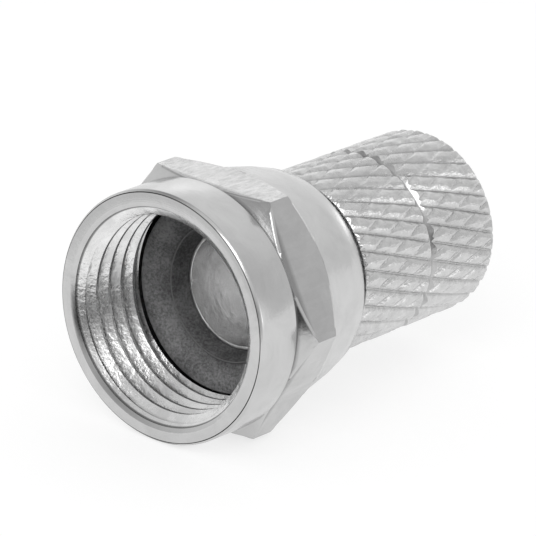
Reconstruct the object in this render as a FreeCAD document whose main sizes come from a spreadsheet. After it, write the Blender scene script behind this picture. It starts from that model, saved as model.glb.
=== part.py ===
"""Twist-on male coax plug: coupling nut, knurled body and seal ring.

Frame: the axis of the plug is Y. The mouth of the nut lies at Y = 0 and faces -Y, the cable leaves
towards +Y, and Z is up, so that the plug lies on one flat of its hexagon. Sizes are millimetres.
"""
import FreeCAD, Part
import os

import Sketcher

V = FreeCAD.Vector
doc = FreeCAD.newDocument("coax_plug")

# Driving sizes, all in millimetres. A run is a length along the axis, and a drop is a loss of radius.
SIZES = [
    # Coupling nut, inside: 3/8-32 thread, whose bore is drawn at the minor radius
    ("thread_minor_radius", 4.40),
    ("thread_major_radius", 4.80),
    ("thread_length", 3.72),
    ("mouth_lead_in", 0.15),
    ("mouth_chamfer_run", 0.45),
    ("relief_depth", 0.22),
    ("lip_length", 1.95),
    # Coupling nut, outside
    ("collar_wall", 0.80),
    ("collar_length", 2.50),
    ("mouth_bevel", 0.18),
    ("collar_rear_bevel", 0.17),
    ("across_flats", 10.80),
    ("mill_overrun", 1.00),
    ("shoulder_front_run", 0.50),
    ("corner_land", 1.16),
    ("shoulder_rear_run", 0.78),
    ("tail_run", 2.05),
    ("tail_wall", 0.36),
    ("tail_round_run", 1.05),
    ("tail_round_drop", 0.30),
    ("tail_bevel", 0.30),
    # Body
    ("front_bore_radius", 2.54),
    ("rim_wall", 0.18),
    ("rim_run", 0.55),
    ("flange_thickness", 0.70),
    ("flange_overlap", 0.47),
    ("flange_edge", 0.08),
    ("sleeve_length", 9.05),
    ("sleeve_wall", 0.87),
    ("sleeve_front_edge", 0.14),
    ("sleeve_rear_edge", 0.22),
    ("ring_groove_offset", 4.43),
    ("ring_groove_width", 0.43),
    ("ring_groove_depth", 0.22),
    ("ring_groove_front_slope", 0.05),
    ("ring_groove_rear_slope", 0.20),
    ("cable_bore_radius", 3.30),
    ("cable_bore_floor", 0.35),
    ("cable_bore_chamfer", 0.30),
    # Seal ring
    ("seal_thickness", 1.81),
    ("seal_edge", 0.10),
    ("seal_ridge_offset", 0.33),
    ("seal_ridge_depth", 0.52),
    # Clearances
    ("flange_to_thread_clearance", 0.18),
    ("seal_to_thread_clearance", 0.10),
    ("lip_to_neck_clearance", 0.07),
    ("lip_to_flange_clearance", 0.06),
    ("nut_to_sleeve_clearance", 0.61),
]

sheet = doc.addObject("Spreadsheet::Sheet", "sizes")
for row, (alias, value) in enumerate(SIZES, start=1):
    sheet.set(f"A{row}", alias)
    sheet.set(f"B{row}", str(value))
    sheet.setAlias(f"B{row}", alias)
doc.recompute()


def size(alias):
    """The expression that reads one driving size."""
    return f"sizes.{alias}"


def origin_plane(body, role):
    """One of the body's own origin planes, found by its role."""
    return next(item for item in body.Origin.OriginFeatures if item.Role == role)


def bind(sketch, constraint, name, expression):
    """Add a named dimension and bind it to the sheet."""
    index = sketch.addConstraint(constraint)
    sketch.renameConstraint(index, name)
    sketch.setExpression(f"Constraints.{name}", expression)


def closed_outline(sketch, corners):
    """Join the corners with straight edges, each corner bound by its station and its radius.

    corners is a list of (name, station, radius): the last two are expressions, and a station of
    None is the mouth plane. Starting places only need to be in the right order, so they are read
    from the expressions themselves.
    """
    places = []
    for name, station, radius in corners:
        along = 0.0 if station is None else float(sheet.evalExpression(station))
        places.append(V(along, float(sheet.evalExpression(radius)), 0))
    count = len(places)
    for i in range(count):
        sketch.addGeometry(Part.LineSegment(places[i], places[(i + 1) % count]), False)
    for i in range(count):
        sketch.addConstraint(Sketcher.Constraint("Coincident", i, 2, (i + 1) % count, 1))
    for i, (name, station, radius) in enumerate(corners):
        if station is None:
            sketch.addConstraint(Sketcher.Constraint("PointOnObject", i, 1, -2))
        else:
            bind(sketch, Sketcher.Constraint("DistanceX", -1, 1, i, 1, places[i].x),
                 f"{name}_station", station)
        bind(sketch, Sketcher.Constraint("DistanceY", -1, 1, i, 1, places[i].y),
             f"{name}_radius", radius)


def turned_body(name, corners):
    """A body turned about the plug's axis from one closed half section."""
    body = doc.addObject("PartDesign::Body", name)
    body.Label = name
    body.Placement = FreeCAD.Placement(V(0, 0, 0), FreeCAD.Rotation())
    sketch = body.newObject("Sketcher::SketchObject", f"{name}_section")
    sketch.AttachmentSupport = [(origin_plane(body, "YZ_Plane"), "")]
    sketch.MapMode = "FlatFace"
    closed_outline(sketch, corners)
    turned = body.newObject("PartDesign::Revolution", f"{name}_turned")
    turned.Profile = sketch
    turned.ReferenceAxis = (sketch, ["H_Axis"])
    turned.Angle = 360.0
    doc.recompute()
    return body


# Radii that follow from the driving sizes
half_flats = f"{size('across_flats')} / 2"
corner_radius = f"{half_flats} / cos(30deg)"
collar_radius = f"{size('thread_major_radius')} + {size('collar_wall')}"
relief_radius = f"{size('thread_minor_radius')} + {size('relief_depth')}"
tail_radius = f"{relief_radius} + {size('tail_wall')}"
tail_round_radius = f"{tail_radius} - {size('tail_round_drop')}"
flange_radius = f"{size('thread_minor_radius')} - {size('flange_to_thread_clearance')}"
lip_radius = f"{flange_radius} - {size('flange_overlap')}"
neck_radius = f"{lip_radius} - {size('lip_to_neck_clearance')}"
rim_radius = f"{size('front_bore_radius')} + {size('rim_wall')}"
sleeve_radius = f"{size('cable_bore_radius')} + {size('sleeve_wall')}"
seal_radius = f"{size('thread_minor_radius')} - {size('seal_to_thread_clearance')}"

# Stations along the axis, from the mouth. The nut's come first: its lip places the body's flange,
# the flange carries the rim and the seal, and the nut's rear face places the sleeve.
shoulder_end = f"{size('collar_length')} + {size('shoulder_front_run')}"
corner_end = f"{shoulder_end} + {size('corner_land')}"
tail_start = f"{corner_end} + {size('shoulder_rear_run')}"
tail_end = f"{tail_start} + {size('tail_run')}"
tail_round_end = f"{tail_end} + {size('tail_round_run')}"
nut_end = f"{tail_round_end} + {size('tail_bevel')}"
lip_front = f"{nut_end} - {size('lip_length')}"
flange_back = f"{lip_front} - {size('lip_to_flange_clearance')}"
flange_front = f"{flange_back} - {size('flange_thickness')}"
rim_front = f"{flange_front} - {size('rim_run')}"
seal_front = f"{flange_front} - {size('seal_thickness')}"
sleeve_front = f"{nut_end} + {size('nut_to_sleeve_clearance')}"
sleeve_end = f"{sleeve_front} + {size('sleeve_length')}"
groove_start = f"{sleeve_front} + {size('ring_groove_offset')}"
groove_end = f"{groove_start} + {size('ring_groove_width')}"


def coupling_nut():
    """Turned nut: collar, thread bore, hexagon with two bevelled shoulders, tail and inner lip."""
    body = turned_body("coupling_nut", [
        ("mouth_outer", None, f"{collar_radius} - {size('mouth_bevel')}"),
        ("collar_front", size("mouth_bevel"), collar_radius),
        ("collar_rear", f"{size('collar_length')} - {size('collar_rear_bevel')}", collar_radius),
        ("shoulder_foot", size("collar_length"), half_flats),
        ("corner_front", shoulder_end, corner_radius),
        ("corner_rear", corner_end, corner_radius),
        ("tail_root", tail_start, half_flats),
        ("tail_break", tail_end, tail_radius),
        ("tail_round", tail_round_end, tail_round_radius),
        ("rear_outer", nut_end, f"{tail_round_radius} - {size('tail_bevel')}"),
        ("rear_inner", nut_end, lip_radius),
        ("lip_inner", lip_front, lip_radius),
        ("lip_outer", lip_front, relief_radius),
        ("relief_front", size("thread_length"), relief_radius),
        ("thread_rear", size("thread_length"), size("thread_minor_radius")),
        ("thread_front", size("mouth_chamfer_run"), size("thread_minor_radius")),
        ("mouth_inner", None, f"{size('thread_major_radius')} + {size('mouth_lead_in')}"),
    ])
    # The hexagon is milled behind the collar: all between its six sides and a wide circle is cut away
    sides = 6
    sketch = body.newObject("Sketcher::SketchObject", "hexagon")
    sketch.AttachmentSupport = [(origin_plane(body, "XZ_Plane"), "")]
    sketch.MapMode = "FlatFace"
    sketch.setExpression("AttachmentOffset.Base.z", f"-({size('collar_length')})")
    reach = float(sheet.evalExpression(corner_radius))
    clear_reach = f"{corner_radius} + {size('mill_overrun')}"
    corners = [FreeCAD.Rotation(V(0, 0, 1), 360 / sides * i).multVec(V(reach, 0, 0)) for i in range(sides)]
    for i in range(sides):
        sketch.addGeometry(Part.LineSegment(corners[i], corners[(i + 1) % sides]), False)
    for i in range(sides):
        sketch.addConstraint(Sketcher.Constraint("Coincident", i, 2, (i + 1) % sides, 1))
    guide = sketch.addGeometry(Part.Circle(V(0, 0, 0), V(0, 0, 1), reach), True)
    sketch.addConstraint(Sketcher.Constraint("Coincident", guide, 3, -1, 1))
    bind(sketch, Sketcher.Constraint("Radius", guide, reach), "corner", corner_radius)
    sketch.addConstraint(Sketcher.Constraint("PointOnObject", 0, 1, -1))
    for i in range(sides):
        sketch.addConstraint(Sketcher.Constraint("PointOnObject", i, 1, guide))
    for i in range(sides - 1):
        sketch.addConstraint(Sketcher.Constraint("Equal", i, i + 1))
    outside = float(sheet.evalExpression(clear_reach))
    rim = sketch.addGeometry(Part.Circle(V(0, 0, 0), V(0, 0, 1), outside), False)
    sketch.addConstraint(Sketcher.Constraint("Coincident", rim, 3, -1, 1))
    bind(sketch, Sketcher.Constraint("Radius", rim, outside), "outside", clear_reach)
    doc.recompute()
    mill = body.newObject("PartDesign::Pocket", "flats")
    mill.Profile = sketch
    mill.setExpression("Length", f"{tail_start} - {size('collar_length')}")
    body.Tip = mill
    doc.recompute()
    return body


def knurled_body():
    """One turned piece: inner rim, flange, neck for the nut's lip, and the long cable sleeve."""
    bore_end = f"{sleeve_front} + {size('cable_bore_floor')}"
    groove_floor = f"{sleeve_radius} - {size('ring_groove_depth')}"
    return turned_body("knurled_body", [
        ("rim_inner", rim_front, size("front_bore_radius")),
        ("rim_outer", rim_front, rim_radius),
        ("rim_root", flange_front, rim_radius),
        ("flange_face", flange_front, f"{flange_radius} - {size('flange_edge')}"),
        ("flange_edge", f"{flange_front} + {size('flange_edge')}", flange_radius),
        ("flange_back", flange_back, flange_radius),
        ("neck_front", flange_back, neck_radius),
        ("neck_rear", sleeve_front, neck_radius),
        ("sleeve_face", sleeve_front, f"{sleeve_radius} - {size('sleeve_front_edge')}"),
        ("sleeve_front", f"{sleeve_front} + {size('sleeve_front_edge')}", sleeve_radius),
        ("groove_front", groove_start, sleeve_radius),
        ("groove_floor_front", f"{groove_start} + {size('ring_groove_front_slope')}", groove_floor),
        ("groove_floor_rear", f"{groove_end} - {size('ring_groove_rear_slope')}", groove_floor),
        ("groove_rear", groove_end, sleeve_radius),
        ("sleeve_rear", f"{sleeve_end} - {size('sleeve_rear_edge')}", sleeve_radius),
        ("rear_face_outer", sleeve_end, f"{sleeve_radius} - {size('sleeve_rear_edge')}"),
        ("rear_face_inner", sleeve_end, f"{size('cable_bore_radius')} + {size('cable_bore_chamfer')}"),
        ("cable_bore_mouth", f"{sleeve_end} - {size('cable_bore_chamfer')}", size("cable_bore_radius")),
        ("cable_bore_floor", bore_end, size("cable_bore_radius")),
        ("front_bore_rear", bore_end, size("front_bore_radius")),
    ])


def seal_ring():
    """Moulded rubber washer, dished in front, seated on the flange and round the inner rim."""
    return turned_body("seal_ring", [
        ("back_inner", flange_front, rim_radius),
        ("front_inner", rim_front, rim_radius),
        ("ridge", f"{seal_front} + {size('seal_ridge_depth')}",
         f"{rim_radius} + {size('seal_ridge_offset')}"),
        ("front_outer", seal_front, f"{seal_radius} - {size('seal_edge')}"),
        ("outer_front", f"{seal_front} + {size('seal_edge')}", seal_radius),
        ("outer_rear", flange_front, seal_radius),
    ])


pieces = [coupling_nut(), knurled_body(), seal_ring()]
doc.recompute()

for item in doc.Objects:
    if "Invalid" in item.State or "Error" in item.State:
        raise RuntimeError(f"{item.Name} failed: {item.State}")
for piece in pieces:
    if piece.Shape.isNull() or not piece.Shape.isValid():
        raise RuntimeError(f"{piece.Label} has no valid shape")

os.makedirs("parts", exist_ok=True)
for piece in pieces:
    piece.Shape.exportStep(f"parts/{piece.Label}.step")
    print(piece.Label, len(piece.Shape.Solids), "solid,", round(piece.Shape.Volume, 2), "mm3")
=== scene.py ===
import math

import bpy
from mathutils import Matrix, Vector


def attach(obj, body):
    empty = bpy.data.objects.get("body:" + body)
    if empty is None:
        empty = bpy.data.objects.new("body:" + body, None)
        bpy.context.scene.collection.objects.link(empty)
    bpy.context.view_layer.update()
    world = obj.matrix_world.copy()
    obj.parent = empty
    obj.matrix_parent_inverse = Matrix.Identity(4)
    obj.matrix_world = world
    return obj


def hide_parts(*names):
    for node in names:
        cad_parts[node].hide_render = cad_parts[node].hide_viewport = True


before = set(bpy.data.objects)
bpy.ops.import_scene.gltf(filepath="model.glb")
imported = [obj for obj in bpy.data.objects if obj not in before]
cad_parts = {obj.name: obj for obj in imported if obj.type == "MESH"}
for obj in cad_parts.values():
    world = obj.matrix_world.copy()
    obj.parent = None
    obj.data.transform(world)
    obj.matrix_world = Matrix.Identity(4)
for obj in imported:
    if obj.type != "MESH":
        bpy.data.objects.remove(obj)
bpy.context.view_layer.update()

# Knurled body: one piece of brass, turned on a bar lathe, knurled, bored from both ends and
# nickel plated. Two crossing sets of V grooves are rolled into its sleeve, a plain ring groove goes
# round the sleeve, and a coarse thread in the rear bore cuts itself onto the cable's jacket.

# Sizes are millimetres. A station, or Y, runs along the plug's axis from its mouth to its cable end.
MM = 0.001
TURN = 2 * math.pi
RING_STEPS = 240
EDGE_BREAK = 0.03
ROUND_FROM, ROUND_STEP, MOST_OF_SIDE = math.radians(8), math.radians(32), 0.4
SMOOTH_UNDER = math.radians(34)
BORE_R, RIM_R, RIM_Y = 2.54, 2.72, 5.08
FLANGE_Y, FLANGE_BACK, FLANGE_R = 5.63, 6.33, 4.22
NECK_R = 3.68
SLEEVE_Y, SLEEVE_END, SLEEVE_R = 8.95, 18.00, 4.17
SLEEVE_FRONT_EDGE, SLEEVE_REAR_EDGE, REAR_EDGE_BULGE = 0.14, 0.22, 0.35
RING_Y, RING_WIDTH, RING_DEPTH = 13.38, 0.43, 0.22
RING_FRONT_SLOPE, RING_REAR_SLOPE = 0.05, 0.20
CABLE_R, CABLE_FLOOR, CABLE_CHAMFER = 3.30, 9.30, 0.30


def rounded(outline, size=EDGE_BREAK):
    """A closed outline of (station, radius) with a small round on each of its corners. A third
    number at a corner is a size of its own for that round."""
    points = []
    for before, here, after in zip(outline[-1:] + outline, outline, outline[1:] + outline[:1]):
        own_size = here[2] if len(here) > 2 else size
        here = Vector(here[:2])
        back, on = Vector(before[:2]) - here, Vector(after[:2]) - here
        turn = math.pi - back.angle(on)
        if turn < ROUND_FROM or own_size == 0:
            points.append(tuple(here))
            continue
        trim = min(own_size, MOST_OF_SIDE * back.length, MOST_OF_SIDE * on.length)
        start, end = here + trim * back.normalized(), here + trim * on.normalized()
        count = max(1, math.ceil(turn / ROUND_STEP))
        for i in range(count + 1):
            t = i / count
            points.append(tuple((1 - t) ** 2 * start + 2 * t * (1 - t) * here + t ** 2 * end))
    return points


def turned(name, outline, steps=RING_STEPS):
    """A closed shell of revolution about the plug's axis, drawn ring by ring along its outline."""
    station, radius = outline[0]
    bpy.ops.object.select_all(action="DESELECT")
    bpy.ops.mesh.primitive_circle_add(vertices=steps, radius=radius, fill_type="NOTHING",
                                      location=(0, station, 0), rotation=(math.pi / 2, 0, 0))
    piece = bpy.context.object
    piece.name = piece.data.name = name
    bpy.ops.object.transform_apply(location=True, rotation=True, scale=True)
    bpy.ops.object.mode_set(mode="EDIT")
    bpy.ops.mesh.select_all(action="SELECT")
    for here, there in zip(outline, outline[1:] + outline[:1]):
        bpy.ops.mesh.extrude_region_move(
            TRANSFORM_OT_translate={"value": (0, there[0] - here[0], 0)})
        grow = there[1] / here[1]
        bpy.ops.transform.resize(value=(grow, 1, grow), center_override=(0, there[0], 0))
    bpy.ops.mesh.select_all(action="SELECT")
    bpy.ops.mesh.remove_doubles(threshold=0.0005)
    bpy.ops.mesh.normals_make_consistent(inside=False)
    bpy.ops.object.mode_set(mode="OBJECT")
    return piece


def swept_ridge(corners, travel, angle, steps):
    """A solid ridge that follows a helix about the plug's axis, for cutting a groove or thread."""
    bpy.ops.object.select_all(action="DESELECT")
    bpy.ops.mesh.primitive_circle_add(vertices=len(corners), radius=1, fill_type="NOTHING")
    ridge = bpy.context.object
    for vertex, corner in zip(ridge.data.vertices, corners):
        vertex.co = corner
    sweep = ridge.modifiers.new("sweep", "SCREW")
    sweep.axis = "Y"
    sweep.angle, sweep.screw_offset = angle, travel
    sweep.steps = sweep.render_steps = steps
    bpy.ops.object.modifier_apply(modifier=sweep.name)
    bpy.ops.object.mode_set(mode="EDIT")
    bpy.ops.mesh.select_all(action="SELECT")
    bpy.ops.mesh.fill_holes(sides=len(corners))
    bpy.ops.mesh.select_all(action="SELECT")
    bpy.ops.mesh.normals_make_consistent(inside=False)
    bpy.ops.object.mode_set(mode="OBJECT")
    return ridge


def copies_round_axis(tool, count):
    """The same tool count times round the plug's axis, joined into one."""
    tools = [tool]
    for i in range(1, count):
        one = tool.copy()
        one.data = tool.data.copy()
        one.data.transform(Matrix.Rotation(TURN * i / count, 4, "Y"))
        bpy.context.collection.objects.link(one)
        tools.append(one)
    bpy.ops.object.select_all(action="DESELECT")
    for one in tools:
        one.select_set(True)
    bpy.context.view_layer.objects.active = tool
    bpy.ops.object.join()
    return tool


def pick(piece):
    """Select one piece only, and work on it."""
    bpy.ops.object.select_all(action="DESELECT")
    bpy.context.view_layer.objects.active = piece
    piece.select_set(True)


def cut_away(piece, tool):
    """Cut a tool's solid out of a piece, and put the tool away."""
    pick(piece)
    cut = piece.modifiers.new("cut", "BOOLEAN")
    cut.operation, cut.solver, cut.object = "DIFFERENCE", "MANIFOLD", tool
    bpy.ops.object.modifier_apply(modifier=cut.name)
    bpy.data.objects.remove(tool)


def to_metres(piece):
    """Bring a piece made in millimetres to metres, and smooth it between its sharp edges."""
    pick(piece)
    piece.scale = (MM, MM, MM)
    bpy.ops.object.transform_apply(location=True, rotation=True, scale=True)
    bpy.ops.object.shade_smooth_by_angle(angle=SMOOTH_UNDER)
    even = piece.modifiers.new("even", "WEIGHTED_NORMAL")
    even.keep_sharp = True
    bpy.ops.object.modifier_apply(modifier=even.name)


def add_node(tree, kind, inputs=(), **settings):
    """One more shader node, with its settings and the values of its unlinked inputs."""
    made = tree.nodes.new(kind)
    for name, value in settings.items():
        setattr(made, name, value)
    for socket, value in dict(inputs).items():
        made.inputs[socket].default_value = value
    return made


def scale_tone(tree, shader, factor):
    """Scale the colour that reaches a finish's shader by a factor from another node."""
    scaled = add_node(tree, "ShaderNodeVectorMath", operation="SCALE")
    tree.links.new(shader.inputs["Base Color"].links[0].from_socket, scaled.inputs["Vector"])
    tree.links.new(factor, scaled.inputs["Scale"])
    tree.links.new(scaled.outputs["Vector"], shader.inputs["Base Color"])


def nickel(name, light, dark, roughness, peel, ring_marks, corner_shade=0.25):
    """Nickel plate over turned brass: faint rings left by the tool, a soft orange peel over them,
    slow stains that dull it a little, and fine pits. The peel and the marks are heights. Its corners
    are darkened with painted shade, down to corner_shade of its tone."""
    material = bpy.data.materials.new(name)
    material.use_nodes = True
    tree = material.node_tree
    link = tree.links.new
    shader = tree.nodes["Principled BSDF"]
    shader.inputs["Metallic"].default_value = 1.0

    place = add_node(tree, "ShaderNodeTexCoord")
    in_mm = add_node(tree, "ShaderNodeMapping", {"Scale": (1000, 1000, 1000)}, name="in_mm")
    link(place.outputs["Object"], in_mm.inputs["Vector"])

    # Distance from the plug's axis and along it, for marks that run round the piece
    across = add_node(tree, "ShaderNodeVectorMath", {1: (1, 0, 1)}, operation="MULTIPLY")
    link(in_mm.outputs["Vector"], across.inputs[0])
    radius = add_node(tree, "ShaderNodeVectorMath", operation="LENGTH", name="radius")
    link(across.outputs["Vector"], radius.inputs[0])
    along = add_node(tree, "ShaderNodeSeparateXYZ", name="station")
    link(in_mm.outputs["Vector"], along.inputs["Vector"])
    turned_place = add_node(tree, "ShaderNodeCombineXYZ")
    link(radius.outputs["Value"], turned_place.inputs["X"])
    link(along.outputs["Y"], turned_place.inputs["Y"])
    rings = add_node(tree, "ShaderNodeTexNoise", {"Scale": 9.0, "Detail": 3.0, "Roughness": 0.6})
    link(turned_place.outputs["Vector"], rings.inputs["Vector"])

    orange = add_node(tree, "ShaderNodeTexNoise", {"Scale": 2.6, "Detail": 3.0, "Roughness": 0.55})
    link(in_mm.outputs["Vector"], orange.inputs["Vector"])
    stain = add_node(tree, "ShaderNodeTexNoise",
                     {"Scale": 0.55, "Detail": 5.0, "Roughness": 0.62, "Distortion": 0.8})
    link(in_mm.outputs["Vector"], stain.inputs["Vector"])
    grit = add_node(tree, "ShaderNodeTexNoise", {"Scale": 14.0, "Detail": 2.0, "Roughness": 0.6})
    link(in_mm.outputs["Vector"], grit.inputs["Vector"])

    tone = add_node(tree, "ShaderNodeValToRGB")
    stained, clear = tone.color_ramp.elements
    stained.position, stained.color = 0.36, (dark, dark, dark, 1)
    clear.position, clear.color = 0.62, (light, light, light, 1)
    link(stain.outputs["Fac"], tone.inputs["Fac"])
    link(tone.outputs["Color"], shader.inputs["Base Color"])

    dull = add_node(tree, "ShaderNodeMapRange", {"From Min": 0.3, "From Max": 0.7,
                                                 "To Min": roughness + 0.10, "To Max": roughness})
    link(stain.outputs["Fac"], dull.inputs["Value"])
    speckle = add_node(tree, "ShaderNodeMath", {1: 0.10}, operation="MULTIPLY_ADD")
    link(grit.outputs["Fac"], speckle.inputs[0])
    link(dull.outputs["Result"], speckle.inputs[2])
    link(speckle.outputs["Value"], shader.inputs["Roughness"])

    waves = add_node(tree, "ShaderNodeBump", {"Strength": 1.0, "Distance": peel * MM})
    link(orange.outputs["Fac"], waves.inputs["Height"])
    marks = add_node(tree, "ShaderNodeBump", {"Strength": 1.0, "Distance": ring_marks * MM})
    link(rings.outputs["Fac"], marks.inputs["Height"])
    link(waves.outputs["Normal"], marks.inputs["Normal"])
    pits = add_node(tree, "ShaderNodeBump", {"Strength": 1.0, "Distance": 0.0008 * MM})
    link(grit.outputs["Fac"], pits.inputs["Height"])
    link(marks.outputs["Normal"], pits.inputs["Normal"])
    link(pits.outputs["Normal"], shader.inputs["Normal"])

    # Painted shade: the colour is darker in the corners, where little of the surroundings is seen
    corner = add_node(tree, "ShaderNodeAmbientOcclusion", {"Distance": 0.28 * MM}, samples=8)
    corner_shading = add_node(tree, "ShaderNodeMapRange", {"From Min": 0.35, "From Max": 0.88, "To Min": corner_shade})
    link(corner.outputs["AO"], corner_shading.inputs["Value"])
    scale_tone(tree, shader, corner_shading.outputs["Result"])
    return material


def press_in(material, stretch, scale, detail, height, tint=0.0):
    """One more bump on a finish: a noise of so many bumps a millimetre, stretched along the axes,
    and so many millimetres high. Its hollows are darker by the tint."""
    tree = material.node_tree
    shader = tree.nodes["Principled BSDF"]
    place = add_node(tree, "ShaderNodeMapping", {"Scale": stretch})
    tree.links.new(tree.nodes["in_mm"].outputs["Vector"], place.inputs["Vector"])
    pattern = add_node(tree, "ShaderNodeTexNoise", {"Scale": scale, "Detail": detail, "Roughness": 0.6})
    tree.links.new(place.outputs["Vector"], pattern.inputs["Vector"])
    bump = add_node(tree, "ShaderNodeBump", {"Strength": 1.0, "Distance": height * MM})
    tree.links.new(pattern.outputs["Fac"], bump.inputs["Height"])
    tree.links.new(shader.inputs["Normal"].links[0].from_socket, bump.inputs["Normal"])
    tree.links.new(bump.outputs["Normal"], shader.inputs["Normal"])
    if tint:
        depth = add_node(tree, "ShaderNodeMapRange", {"From Min": 0.35, "From Max": 0.65,
                                                      "To Min": 1 - tint, "To Max": 1 + tint})
        tree.links.new(pattern.outputs["Fac"], depth.inputs["Value"])
        scale_tone(tree, shader, depth.outputs["Result"])
    return material


def from_axis(place):
    """A place's distance from the plug's axis."""
    return math.hypot(place.x, place.z)


def finish_faces(piece, material, chosen):
    """Give a piece's faces whose corners, as (station, radius) in millimetres, all pass the test
    a finish of their own."""
    piece.data.materials.append(material)
    slot = len(piece.data.materials) - 1
    for face in piece.data.polygons:
        corners = [piece.data.vertices[i].co for i in face.vertices]
        if all(chosen(corner.y, from_axis(corner)) for corner in corners):
            face.material_index = slot


body = turned("body_sleeve", rounded([
    (RIM_Y, BORE_R), (RIM_Y, RIM_R), (FLANGE_Y, RIM_R), (FLANGE_Y, FLANGE_R), (FLANGE_BACK, FLANGE_R),
    (FLANGE_BACK, NECK_R), (SLEEVE_Y, NECK_R), (SLEEVE_Y, SLEEVE_R - SLEEVE_FRONT_EDGE),
    (SLEEVE_Y + SLEEVE_FRONT_EDGE, SLEEVE_R), (RING_Y, SLEEVE_R),
    (RING_Y + RING_FRONT_SLOPE, SLEEVE_R - RING_DEPTH),
    (RING_Y + RING_WIDTH - RING_REAR_SLOPE, SLEEVE_R - RING_DEPTH),
    (RING_Y + RING_WIDTH, SLEEVE_R), (SLEEVE_END - SLEEVE_REAR_EDGE, SLEEVE_R),
    (SLEEVE_END - REAR_EDGE_BULGE * SLEEVE_REAR_EDGE, SLEEVE_R - REAR_EDGE_BULGE * SLEEVE_REAR_EDGE),
    (SLEEVE_END, SLEEVE_R - SLEEVE_REAR_EDGE), (SLEEVE_END, CABLE_R + CABLE_CHAMFER),
    (SLEEVE_END - CABLE_CHAMFER, CABLE_R), (CABLE_FLOOR, CABLE_R), (CABLE_FLOOR, BORE_R),
]))

# The knurl's groove has a sharp bottom and round shoulders, so that the diamonds are left as low
# pillows. One side of it is given in shares of its half width and of its depth, and each hand of
# the knurl has a depth and a half width of its own.
KNURL_COUNT, KNURL_LEAD, KNURL_STEPS = 30, 74.0, 24
KNURL_OVERRUN, KNURL_TOP = 0.5, 0.3
KNURL_SIDE = [(1.0, -0.08), (0.72, 0.08), (0.42, 0.36), (0.16, 0.80), (0.04, 1.0)]
KNURL_HANDS = [(1, 0.16, 0.38), (-1, 0.10, 0.30)]
knurl_travel = SLEEVE_END - SLEEVE_Y + 2 * KNURL_OVERRUN
knurl_turn = TURN * knurl_travel / KNURL_LEAD
knurl_start = SLEEVE_Y - KNURL_OVERRUN
groove = KNURL_SIDE + [(-across, down) for across, down in reversed(KNURL_SIDE)]
for hand, depth, half_width in KNURL_HANDS:
    wheel = swept_ridge(
        [(across * half_width, knurl_start, SLEEVE_R - down * depth) for across, down in groove]
        + [(side * half_width, knurl_start, SLEEVE_R + KNURL_TOP) for side in (-1, 1)],
        knurl_travel, hand * knurl_turn, KNURL_STEPS)
    cut_away(body, copies_round_axis(wheel, KNURL_COUNT))

# The jacket thread is cut from behind the rear mouth inwards
JACKET_PITCH, JACKET_DEPTH, JACKET_TURNS, JACKET_STEPS = 1.60, 0.33, 5.5, 96
JACKET_ROOT, JACKET_FRONT_FLANK, JACKET_REAR_FLANK = 0.50, 0.45, 0.30
JACKET_OVERRUN, JACKET_TOP = 0.2, 0.2
jacket_start = SLEEVE_END + JACKET_OVERRUN
jacket_thread = swept_ridge([
    (0, jacket_start, CABLE_R + JACKET_DEPTH),
    (0, jacket_start + JACKET_REAR_FLANK, CABLE_R - JACKET_TOP),
    (0, jacket_start - JACKET_ROOT - JACKET_FRONT_FLANK, CABLE_R - JACKET_TOP),
    (0, jacket_start - JACKET_ROOT, CABLE_R + JACKET_DEPTH),
], -JACKET_TURNS * JACKET_PITCH, -JACKET_TURNS * TURN, round(JACKET_TURNS * JACKET_STEPS))
cut_away(body, jacket_thread)

# The knurl is duller than the bores, which are given a lighter tone, a painted light for the shade deep in
# the nut. Its ring groove is a plain turned one, with a darker tone that is painted shade.
SKIN, MARGIN = 0.25, 0.01
body.data.materials.clear()
body.data.materials.append(nickel("nickel_body_lit", light=0.80, dark=0.72, roughness=0.12,
                                  peel=0.022, ring_marks=0.002))
knurl_finish = nickel("nickel_knurl", light=0.68, dark=0.62, roughness=0.14, peel=0.03,
                      ring_marks=0.004, corner_shade=0.12)
finish_faces(body, press_in(knurl_finish, (1, 0.6, 1), scale=4.0, detail=3.0, height=0.05, tint=0.06),
             lambda station, radius: station > SLEEVE_Y and radius > SLEEVE_R - SKIN)
finish_faces(body, nickel("nickel_groove_shade", light=0.58, dark=0.46, roughness=0.10, peel=0.008,
                          ring_marks=0.003, corner_shade=0.12),
             lambda station, radius: RING_Y - MARGIN < station < RING_Y + RING_WIDTH + MARGIN
             and SLEEVE_R - SKIN < radius < SLEEVE_R + MARGIN)
to_metres(body)
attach(body, "body")
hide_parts("knurled_body")

# Coupling nut: turned from hexagon brass, threaded inside and nickel plated. Its rear is closed in
# over the body's flange, so that it turns freely and can't come off.
FACE_IN_R, FACE_OUT_R, FACE_ROUND = 5.02, 5.46, 0.03
OUTER_LINE_Y, OUTER_LINE_R = 0.05, 5.475
MOUTH_BEVEL_Y, MOUTH_BEVEL_R, MOUTH_BEVEL_END = 0.02, 5.50, 0.12
COLLAR_R, COLLAR_BACK, COLLAR_FRONT_BREAK, COLLAR_REAR_BREAK = 5.594, 2.33, 0.04, 0.06
HALF_FLATS = 10.80 / 2
CORNER_R = HALF_FLATS / math.cos(math.pi / 6)
HEX_FRONT, HEX_REAR = 2.50, 4.94
LAND_FRONT, LAND_REAR = 3.00, 4.16
TAIL_KNEE_Y, TAIL_KNEE_R = 6.99, 4.98
TAIL_Y, TAIL_R, TAIL_EDGE, TAIL_ROUND = 8.34, 4.68, 0.30, 0.12
LIP_Y, LIP_BORE, RELIEF_R = 6.39, 3.75, 4.62
THREAD_R, THREAD_ROOT_R, THREAD_PITCH, THREAD_END = 4.40, 4.80, 0.794, 3.90
LEAD_IN_END, LEAD_IN_Y, LEAD_IN_R = 0.44, 0.19, 4.78
INNER_LINE_Y, INNER_LINE_R = 0.15, 4.86
INNER_BEVEL_Y, INNER_BEVEL_R = 0.10, 4.84
MILL_R = 1.4 * CORNER_R

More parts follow.
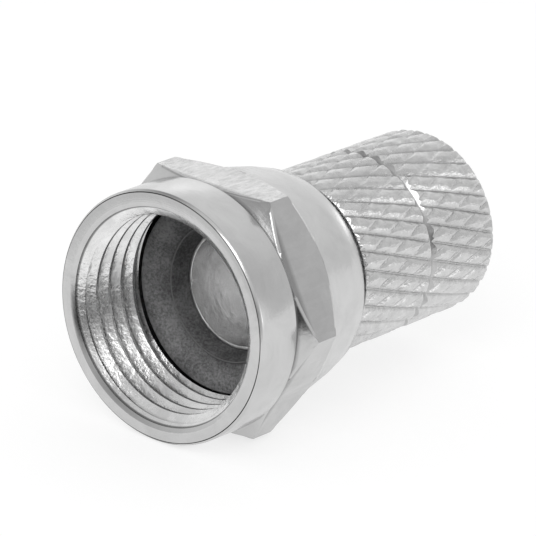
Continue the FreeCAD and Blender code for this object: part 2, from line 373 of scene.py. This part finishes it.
nut = turned("hexagon_nut", rounded([
    (0, FACE_IN_R, FACE_ROUND), (0, FACE_OUT_R, 0), (OUTER_LINE_Y, OUTER_LINE_R, 0),
    (MOUTH_BEVEL_Y, MOUTH_BEVEL_R, 0), (MOUTH_BEVEL_END, COLLAR_R, COLLAR_FRONT_BREAK),
    (COLLAR_BACK, COLLAR_R, COLLAR_REAR_BREAK), (HEX_FRONT, HALF_FLATS),
    (LAND_FRONT, CORNER_R, 0), (LAND_REAR, CORNER_R, 0), (HEX_REAR, HALF_FLATS),
    (TAIL_KNEE_Y, TAIL_KNEE_R), (TAIL_Y - TAIL_EDGE, TAIL_R, TAIL_ROUND), (TAIL_Y, TAIL_R - TAIL_EDGE),
    (TAIL_Y, LIP_BORE), (LIP_Y, LIP_BORE), (LIP_Y, RELIEF_R), (THREAD_END, RELIEF_R),
    (THREAD_END, THREAD_R), (LEAD_IN_END, THREAD_R), (LEAD_IN_Y, LEAD_IN_R, 0),
    (INNER_LINE_Y, INNER_LINE_R, 0), (INNER_BEVEL_Y, INNER_BEVEL_R, 0),
]))
mill = turned("mill", [(HEX_FRONT, CORNER_R), (HEX_FRONT, MILL_R), (HEX_REAR, MILL_R),
                       (HEX_REAR, CORNER_R)], 6)
mill.data.transform(Matrix.Rotation(math.radians(30), 4, "Y"))
cut_away(nut, mill)


def towards_flats(place):
    """How far a place lies out from the axis towards each of the six flats, the uppermost first."""
    return [math.cos(turn * TURN / 6) * place.z + math.sin(turn * TURN / 6) * place.x
            for turn in range(6)]


# The milled edges are broken by tumbling, but for where they run out on the collar
MILLED_BREAK = 0.09
BROKEN_FROM_R, BROKEN_TO_R, NEAR_FLAT = 5.47, CORNER_R - 0.10, 0.002
for item in [*nut.data.vertices, *nut.data.polygons]:
    item.select = False
for edge in nut.data.edges:
    ends = [nut.data.vertices[i] for i in edge.vertices]
    edge.select = all(abs(max(towards_flats(end.co)) - HALF_FLATS) < NEAR_FLAT
                      and BROKEN_FROM_R < from_axis(end.co) < BROKEN_TO_R
                      and HEX_FRONT < end.co.y < HEX_REAR for end in ends)
    if edge.select:
        for end in ends:
            end.select = True
bpy.context.view_layer.objects.active = nut
bpy.ops.object.mode_set(mode="EDIT")
bpy.ops.mesh.select_mode(type="EDGE")
bpy.ops.mesh.bevel(offset=MILLED_BREAK, segments=3, affect="EDGES", clamp_overlap=False)
bpy.ops.mesh.region_to_loop()
bpy.ops.mesh.mark_sharp()

# A broken edge ends in a small cap, inside the last face of the shoulder, which has seven corners.
# A crisp edge parts the two, from the cap's near end to the hexagon's own corner.
CAPPED_CORNERS, CAP_END, HEXAGON_CORNER = 7, 2, -1
bpy.ops.mesh.select_mode(type="VERT")
bpy.ops.object.mode_set(mode="OBJECT")
for capped in [tuple(face.vertices) for face in nut.data.polygons if len(face.vertices) == CAPPED_CORNERS]:
    outwards = sorted(capped, key=lambda i: from_axis(nut.data.vertices[i].co))
    bpy.ops.object.mode_set(mode="EDIT")
    bpy.ops.mesh.select_all(action="DESELECT")
    bpy.ops.object.mode_set(mode="OBJECT")
    for i in (outwards[CAP_END], outwards[HEXAGON_CORNER]):
        nut.data.vertices[i].select = True
    bpy.ops.object.mode_set(mode="EDIT")
    bpy.ops.mesh.vert_connect()
    bpy.ops.mesh.mark_sharp()
    bpy.ops.object.mode_set(mode="OBJECT")

# The tap's tooth has a narrow flat end, and leaves a narrow crest between two turns of the thread
TAP_TURNS, TAP_START, TAP_STEPS, TAP_TOP = 6.3, -0.75, 120, 0.12
CREST, ROOT = 0.14, 0.12
half_root, half_mouth = ROOT / 2, (THREAD_PITCH - CREST) / 2
half_top = half_mouth + (half_mouth - half_root) * TAP_TOP / (THREAD_ROOT_R - THREAD_R)
tap = swept_ridge([
    (0, TAP_START - half_root, THREAD_ROOT_R), (0, TAP_START + half_root, THREAD_ROOT_R),
    (0, TAP_START + half_top, THREAD_R - TAP_TOP), (0, TAP_START - half_top, THREAD_R - TAP_TOP),
], TAP_TURNS * THREAD_PITCH, TAP_TURNS * TURN, round(TAP_TURNS * TAP_STEPS))
cut_away(nut, tap)


def painted_shade_band(material, measure, start, end, share):
    """Painted shade in a groove or a corner: the finish is darker from one radius or station to
    another, in millimetres, down to a share of its tone."""
    tree = material.node_tree
    band_shade = add_node(tree, "ShaderNodeMapRange", {"From Min": start, "From Max": end,
                                                 "To Min": 1.0, "To Max": share})
    measured = tree.nodes[measure].outputs["Y" if measure == "station" else "Value"]
    tree.links.new(measured, band_shade.inputs["Value"])
    scale_tone(tree, tree.nodes["Principled BSDF"], band_shade.outputs["Result"])
    return material


nut.data.materials.clear()
nut.data.materials.append(nickel("nickel_nut", light=0.63, dark=0.58, roughness=0.07,
                                 peel=0.005, ring_marks=0.003))
# The thread gets a much lighter tone than the nut's outside, a painted light for the shade inside the
# mouth, and painted shade darkens it towards the roots of its grooves
lit_thread_finish = press_in(nickel("nickel_thread_lit", light=0.95, dark=0.76, roughness=0.17, peel=0.02,
                                ring_marks=0.0, corner_shade=0.45),
                         (1, 1, 1), scale=5.0, detail=3.0, height=0.018)
finish_faces(nut, painted_shade_band(lit_thread_finish, "radius", start=4.755, end=THREAD_ROOT_R, share=0.30),
             lambda station, radius: MARGIN < station < THREAD_END + MARGIN
             and radius < INNER_LINE_R + MARGIN)

# A dark line on the collar's rear edge, where it meets the shoulders, is painted shade
finish_faces(nut, nickel("nickel_collar_edge_shade", light=0.30, dark=0.24, roughness=0.20, peel=0.006, ring_marks=0.0),
             lambda station, radius: abs(station - COLLAR_BACK) < COLLAR_REAR_BREAK + 0.001
             and radius > HALF_FLATS + 0.10)

# The flats keep the lengthwise lines of the drawn bar, which are deepest on the uppermost one, and that
# flat also gets a lighter tone, a painted light from above. All of them get painted shade in the corner
# behind the collar.
flats_finish = press_in(nickel("nickel_flats", light=0.59, dark=0.54, roughness=0.10, peel=0.006,
                               ring_marks=0.0),
                        (1, 0.25, 1), scale=4.2, detail=3.0, height=0.008, tint=0.02)
drawn_lit_finish = press_in(nickel("nickel_drawn_lit", light=0.68, dark=0.62, roughness=0.12, peel=0.006,
                               ring_marks=0.0),
                        (1, 0.28, 1), scale=4.6, detail=4.0, height=0.075, tint=0.12)
nut.data.materials.append(painted_shade_band(flats_finish, "station", start=3.00, end=2.76, share=0.62))
nut.data.materials.append(painted_shade_band(drawn_lit_finish, "station", start=2.96, end=2.70, share=0.50))
flats_slot, lit_top_slot = len(nut.data.materials) - 2, len(nut.data.materials) - 1
ON_FLAT, FACING_OUT = 0.003, 0.999
for face in nut.data.polygons:
    reach = towards_flats(face.center)
    on_flat = abs(max(reach) - HALF_FLATS) < ON_FLAT and HEX_FRONT < face.center.y < HEX_REAR
    if on_flat and from_axis(face.normal) > FACING_OUT:
        face.material_index = lit_top_slot if reach[0] == max(reach) else flats_slot
to_metres(nut)
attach(nut, "nut")
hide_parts("coupling_nut")

# Seal ring: a black rubber washer, moulded with a dished front and a thin raised parting line,
# and pressed on the body's rim against its flange, where it keeps the damp out of the joint.
SEAL_R, SEAL_FRONT, SEAL_FACE_R, SEAL_CORNER, SEAL_ROUND = 4.35, 3.84, 3.92, 0.04, 0.05
SEAL_MOUTH = [(4.86, 2.80), (4.37, 3.00)]
SEAL_DISH = [(4.37, 3.13), (4.26, 3.34), (3.98, 3.62)]
PARTING_Y, PARTING_R, PARTING_HALF, PARTING_ROUND = 4.31, 3.06, 0.03, 0.02
seal = turned("rubber_seal", rounded([
    (FLANGE_Y, RIM_R), (RIM_Y, RIM_R), *SEAL_MOUTH,
    (PARTING_Y, PARTING_R - PARTING_HALF, PARTING_ROUND),
    (PARTING_Y, PARTING_R + PARTING_HALF, PARTING_ROUND), *SEAL_DISH,
    (SEAL_FRONT, SEAL_FACE_R), (SEAL_FRONT, SEAL_R - SEAL_CORNER),
    (SEAL_FRONT + SEAL_CORNER, SEAL_R), (FLANGE_Y, SEAL_R),
], SEAL_ROUND))
rubber = bpy.data.materials.new("seal_rubber")
rubber.use_nodes = True
tree = rubber.node_tree
link = tree.links.new
shader = tree.nodes["Principled BSDF"]
shader.inputs["Specular IOR Level"].default_value = 0.4
place = add_node(tree, "ShaderNodeTexCoord")
in_mm = add_node(tree, "ShaderNodeMapping", {"Scale": (1000, 1000, 1000)})
link(place.outputs["Object"], in_mm.inputs["Vector"])
grain = add_node(tree, "ShaderNodeTexNoise", {"Scale": 9.0, "Detail": 4.0, "Roughness": 0.8})
link(in_mm.outputs["Vector"], grain.inputs["Vector"])
bloom = add_node(tree, "ShaderNodeTexNoise", {"Scale": 0.9, "Detail": 3.0, "Distortion": 0.6})
link(in_mm.outputs["Vector"], bloom.inputs["Vector"])
mixed = add_node(tree, "ShaderNodeMath", {1: 2.4}, operation="MULTIPLY_ADD")
link(grain.outputs["Fac"], mixed.inputs[0])
link(bloom.outputs["Fac"], mixed.inputs[2])
spread = add_node(tree, "ShaderNodeMapRange", {"From Min": 1.35, "From Max": 2.05})
link(mixed.outputs["Value"], spread.inputs["Value"])
shade = add_node(tree, "ShaderNodeValToRGB")
shade.color_ramp.elements[0].color = (0.095, 0.095, 0.097, 1)
shade.color_ramp.elements[1].color = (0.295, 0.295, 0.298, 1)
link(spread.outputs["Result"], shade.inputs["Fac"])

# Painted highlight: the ring that stands up at the parting line is paler. Painted light and shade make the
# front lighter outside it and darker towards the bore
across = add_node(tree, "ShaderNodeVectorMath", {1: (1, 0, 1)}, operation="MULTIPLY")
link(in_mm.outputs["Vector"], across.inputs[0])
radius = add_node(tree, "ShaderNodeVectorMath", operation="LENGTH")
link(across.outputs["Vector"], radius.inputs[0])
radial_light_and_shade = add_node(tree, "ShaderNodeMapRange", {"From Min": 3.10, "From Max": 3.60,
                                              "To Min": 0.72, "To Max": 1.15})
link(radius.outputs["Value"], radial_light_and_shade.inputs["Value"])
outer = add_node(tree, "ShaderNodeVectorMath", operation="SCALE")
link(shade.outputs["Color"], outer.inputs["Vector"])
link(radial_light_and_shade.outputs["Result"], outer.inputs["Scale"])
on_ring = add_node(tree, "ShaderNodeMath", {1: PARTING_R, 2: PARTING_HALF + 0.005}, operation="COMPARE")
link(radius.outputs["Value"], on_ring.inputs[0])
ridge_highlight = add_node(tree, "ShaderNodeMix", {"B": (0.20, 0.20, 0.20, 1)}, data_type="RGBA")
link(on_ring.outputs["Value"], ridge_highlight.inputs["Factor"])
link(outer.outputs["Vector"], ridge_highlight.inputs["A"])
link(ridge_highlight.outputs["Result"], shader.inputs["Base Color"])
matt = add_node(tree, "ShaderNodeMapRange", {"To Min": 0.48, "To Max": 0.72})
link(grain.outputs["Fac"], matt.inputs["Value"])
link(matt.outputs["Result"], shader.inputs["Roughness"])
skin = add_node(tree, "ShaderNodeBump", {"Strength": 1.0, "Distance": 0.012 * MM})
link(grain.outputs["Fac"], skin.inputs["Height"])
link(skin.outputs["Normal"], shader.inputs["Normal"])
seal.data.materials.append(rubber)
to_metres(seal)
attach(seal, "body")
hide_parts("seal_ring")

# Floor, light and camera: the plug lies on a plain pale table in a white light tent, whose opening
# is in front, a little to the right, and which has a soft lamp above. Sizes here are metres.
FLOOR_SIZE, FLOOR_FRONT, FLOOR_Z = 0.6, -0.0142, -0.0056
bpy.ops.object.select_all(action="DESELECT")
bpy.ops.mesh.primitive_plane_add(size=FLOOR_SIZE, location=(0, FLOOR_SIZE / 2 + FLOOR_FRONT, FLOOR_Z))
floor = bpy.context.object
floor.name = "floor"
paper = bpy.data.materials.new("table_paper")
paper.use_nodes = True
tree = paper.node_tree
link = tree.links.new
shader = tree.nodes["Principled BSDF"]
shader.inputs["Base Color"].default_value = (0.35, 0.35, 0.35, 1)
shader.inputs["Roughness"].default_value = 0.9
shader.inputs["Specular IOR Level"].default_value = 0.0

# The camera sees the paper as white with the plug's shadow on it, and the metal sees nearly that
CAMERA_WHITE, MIRRORED_SHARE = 0.73, 0.92
path = add_node(tree, "ShaderNodeLightPath")
mirrored = add_node(tree, "ShaderNodeMath", operation="MAXIMUM")
link(path.outputs["Is Glossy Ray"], mirrored.inputs[0])
link(path.outputs["Is Transmission Ray"], mirrored.inputs[1])
dimmer = add_node(tree, "ShaderNodeMath", {1: MIRRORED_SHARE}, operation="MULTIPLY")
link(mirrored.outputs["Value"], dimmer.inputs[0])
seen = add_node(tree, "ShaderNodeMath", operation="MAXIMUM")
link(path.outputs["Is Camera Ray"], seen.inputs[0])
link(dimmer.outputs["Value"], seen.inputs[1])
whiteness = add_node(tree, "ShaderNodeMath", {1: CAMERA_WHITE}, operation="MULTIPLY")
link(seen.outputs["Value"], whiteness.inputs[0])
white = add_node(tree, "ShaderNodeEmission")
link(whiteness.outputs["Value"], white.inputs["Strength"])
both = add_node(tree, "ShaderNodeAddShader")
link(shader.outputs["BSDF"], both.inputs[0])
link(white.outputs["Emission"], both.inputs[1])
link(both.outputs["Shader"], tree.nodes["Material Output"].inputs["Surface"])
floor.data.materials.append(paper)

# The tent's own light, and what its patches add to it or take from it: degrees right of the front,
# degrees up, how narrow, and how much light
TENT_LIGHT, DARKEST = 0.86, 0.05
TENT_PATCHES = [
    (23, -8, 30, -1.30), (-18, 12, 6, -0.36), (-135, 12, 10, 0.12), (120, 15, 3, -0.22),
    (-85, 55, 14, -0.55), (180, 72, 25, -0.30), (114, 2, 60, 1.8), (47, 4, 40, -0.60),
    (-4, 31, 25, -0.22), (-140, 20, 80, 0.30), (-172, 2, 250, 1.6), (180, 45, 20, 0.10),
]
world = bpy.data.worlds.new("light_tent")
bpy.context.scene.world = world
world.use_nodes = True
tree = world.node_tree
link = tree.links.new
direction = add_node(tree, "ShaderNodeTexCoord")
own_light = add_node(tree, "ShaderNodeValue")
own_light.outputs["Value"].default_value = TENT_LIGHT
level = own_light.outputs["Value"]
for azimuth, height, narrow, amount in TENT_PATCHES:
    a, e = math.radians(azimuth), math.radians(height)
    towards = add_node(tree, "ShaderNodeVectorMath", operation="DOT_PRODUCT", inputs={
        1: (math.sin(a) * math.cos(e), -math.cos(a) * math.cos(e), math.sin(e))})
    link(direction.outputs["Generated"], towards.inputs[0])
    fall = add_node(tree, "ShaderNodeMath", {1: narrow, 2: -narrow}, operation="MULTIPLY_ADD")
    link(towards.outputs["Value"], fall.inputs[0])
    patch = add_node(tree, "ShaderNodeMath", operation="EXPONENT")
    link(fall.outputs["Value"], patch.inputs[0])
    add = add_node(tree, "ShaderNodeMath", {1: amount}, operation="MULTIPLY_ADD")
    link(patch.outputs["Value"], add.inputs[0])
    link(level, add.inputs[2])
    level = add.outputs["Value"]
never_black = add_node(tree, "ShaderNodeMath", {1: DARKEST}, operation="MAXIMUM")
link(level, never_black.inputs[0])
tent = tree.nodes["Background"]
tent.inputs["Color"].default_value = (1, 1, 1, 1)
link(never_black.outputs["Value"], tent.inputs["Strength"])
backdrop = add_node(tree, "ShaderNodeBackground", {"Strength": 1.0, "Color": (1, 1, 1, 1)})
path = add_node(tree, "ShaderNodeLightPath")
choice = add_node(tree, "ShaderNodeMixShader")
link(path.outputs["Is Camera Ray"], choice.inputs["Fac"])
link(tent.outputs["Background"], choice.inputs[1])
link(backdrop.outputs["Background"], choice.inputs[2])
link(choice.outputs["Shader"], tree.nodes["World Output"].inputs["Surface"])

LAMP_SIDE, LAMP_AWAY, LAMP_SIZE, LAMP_WATTS = Vector((0.324, -0.694, 0.643)), 0.25, 0.15, 0.14
bpy.ops.object.light_add(type="AREA")
lamp = bpy.context.object
lamp.name = "soft_lamp"
lamp.data.shape, lamp.data.size, lamp.data.energy = "DISK", LAMP_SIZE, LAMP_WATTS
lamp.location = LAMP_AWAY * LAMP_SIDE
lamp.rotation_euler = LAMP_SIDE.to_track_quat("Z", "Y").to_euler()

# The camera stands where the photograph was taken from: its right, its up, its back and its place
CAMERA_RIGHT = Vector((0.76984, 0.63473, 0.06681))
CAMERA_UP = Vector((-0.27824, 0.23956, 0.93016))
CAMERA_BACK = Vector((0.57440, -0.73466, 0.36103))
CAMERA_PLACE = Vector((0.126893, -0.155139, 0.080199))
LENS, SENSOR_WIDTH, NEAREST = 343.61, 36.0, 0.01
bpy.ops.object.camera_add()
camera = bpy.context.object
camera.data.lens, camera.data.sensor_width, camera.data.clip_start = LENS, SENSOR_WIDTH, NEAREST
camera_turn = Matrix((CAMERA_RIGHT, CAMERA_UP, CAMERA_BACK)).transposed().to_4x4()
camera.matrix_world = Matrix.Translation(CAMERA_PLACE) @ camera_turn
bpy.context.scene.camera = camera
bpy.context.scene.view_settings.view_transform = "Standard"
